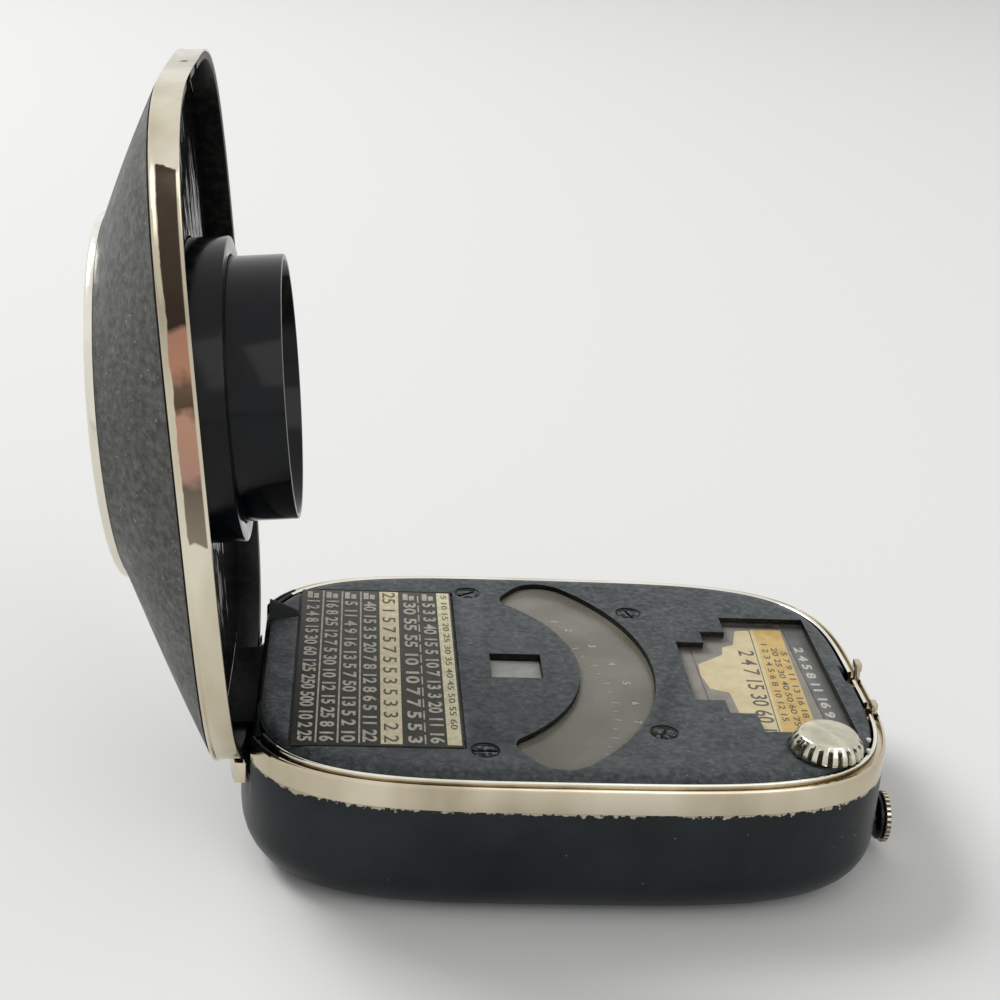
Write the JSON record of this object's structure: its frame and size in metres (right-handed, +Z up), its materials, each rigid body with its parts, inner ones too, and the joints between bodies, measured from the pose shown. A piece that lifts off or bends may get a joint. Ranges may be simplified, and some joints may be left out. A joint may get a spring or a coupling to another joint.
{
  "type": "pocket light meter",
  "caption": "Pocket exposure meter: flat black case with a dial plate, a sliding calculator worked by a fluted knob, and a hinged domed lid that carries a telescopic light tube.",
  "frame": {"origin": "middle of the flat bottom of the case, with the case lying on it", "axes": "+X from the lid's hinge to the latch end, +Y across the case away from the near side, +Z up out of the dial plate"},
  "size_m": [0.0874, 0.0518, 0.0818],
  "materials": {
    "black_paint": "crackled semi-gloss black lacquer, worn at the edges",
    "nickel": "bright nickel plate, lightly tarnished",
    "brass": "plain brass",
    "steel": "plain steel",
    "black_steel": "blackened steel",
    "black_moulding": "polished black phenolic moulding",
    "clear_window": "clear flat glass",
    "scale_card": "printed and lacquered card",
    "selenium": "grey-blue selenium layer on an iron disc",
    "ruby": "polished jewel"
  },
  "bodies": {
    "case": {"case_body": "black_paint", "dial_plate": "black_paint", "rim_frame": "nickel", "hinge_case_leaf": "nickel", "chassis_plate": "brass", "upper_hairspring": "brass", "lower_hairspring": "brass", "movement_bridge": "brass", "magnet": "steel", "hinge_pin": "steel", "chassis_screw_1": "steel", "chassis_screw_2": "steel", "bridge_screw_1": "steel", "bridge_screw_2": "steel", "plate_screw_1": "black_steel", "plate_screw_2": "black_steel", "plate_screw_3": "black_steel", "plate_screw_4": "black_steel", "core": "black_steel", "pole_piece_1": "black_steel", "pole_piece_2": "black_steel", "lead_guard": "black_moulding", "arc_window": "clear_window", "calculator_window": "clear_window", "scale_plate": "scale_card", "table_plate": "scale_card", "calculator_back": "scale_card", "lower_jewel": "ruby", "upper_jewel": "ruby"},
    "lid": {"lid_frame": "nickel", "lid_dome": "black_paint", "bezel_ring": "nickel", "back_disc": "black_moulding", "cell_carrier": "black_moulding", "selenium_cell": "selenium", "cell_contact": "brass", "lid_panel": "black_moulding", "tube_socket": "black_moulding", "hinge_lid_leaf": "nickel", "hinge_strap": "nickel"},
    "tube_1": {"tube_stage_1": "black_moulding"},
    "tube_2": {"tube_stage_2": "black_moulding"},
    "pointer_unit": {"pointer": "black_steel", "balance_weight": "brass", "moving_coil": "brass", "spindle": "steel"},
    "calculator_dial": {"calculator_knob": "nickel", "knob_staff": "steel", "knob_clip": "steel", "calculator_pinion": "brass"},
    "calculator_slide": {"calculator_card": "scale_card", "calculator_rack": "brass"},
    "adjuster": {"adjuster_flange": "black_moulding", "adjuster_knob": "nickel", "adjuster_shaft": "steel", "adjuster_clip": "steel"},
    "latch": {"latch_slide": "nickel", "latch_button": "nickel"}
  },
  "joints": [
    {"name": "lid_hinge", "type": "hinge", "parent": "case", "child": "lid", "pos_m": [-0.0326, 0, 0.0146], "axis": [0, 1, 0], "range_deg": [0, 95.24]},
    {"name": "tube_1_slide", "type": "slide", "parent": "lid", "child": "tube_1", "axis": [-0.9958, 0, -0.0913], "range_m": [0, 0.0031]},
    {"name": "tube_2_slide", "type": "slide", "parent": "lid", "child": "tube_2", "axis": [-0.9958, 0, -0.0913], "range_m": [0, 0.0084]},
    {"name": "pointer_swing", "type": "hinge", "parent": "case", "child": "pointer_unit", "pos_m": [-0.019, 0, 0.01], "axis": [0, 0, 1], "range_deg": [0, 90], "stiffness_Nm_per_rad": 0.000002},
    {"name": "calculator_turn", "type": "hinge", "parent": "case", "child": "calculator_dial", "pos_m": [0.0266, -0.0176, 0.0175], "axis": [0, 0, 1], "range_deg": [-71.7, 0]},
    {"name": "card_slide", "type": "slide", "parent": "case", "child": "calculator_slide", "axis": [0, 1, 0], "range_m": [0, 0.003]},
    {"name": "adjuster_turn", "type": "hinge", "parent": "case", "child": "adjuster", "pos_m": [0.035, -0.01, 0.0041], "axis": [1, 0, 0], "range_deg": [-90, 90]},
    {"name": "latch_slide_joint", "type": "slide", "parent": "case", "child": "latch", "axis": [0, 1, 0], "range_m": [0, 0.001]}
  ],
  "couplings": [
    {"joint": "tube_1_slide", "follows": "lid_hinge", "m_per_rad": 0.0018648},
    {"joint": "tube_2_slide", "follows": "lid_hinge", "m_per_rad": 0.0050529},
    {"joint": "calculator_turn", "follows": "card_slide", "rad_per_m": -416.67}
  ]
}
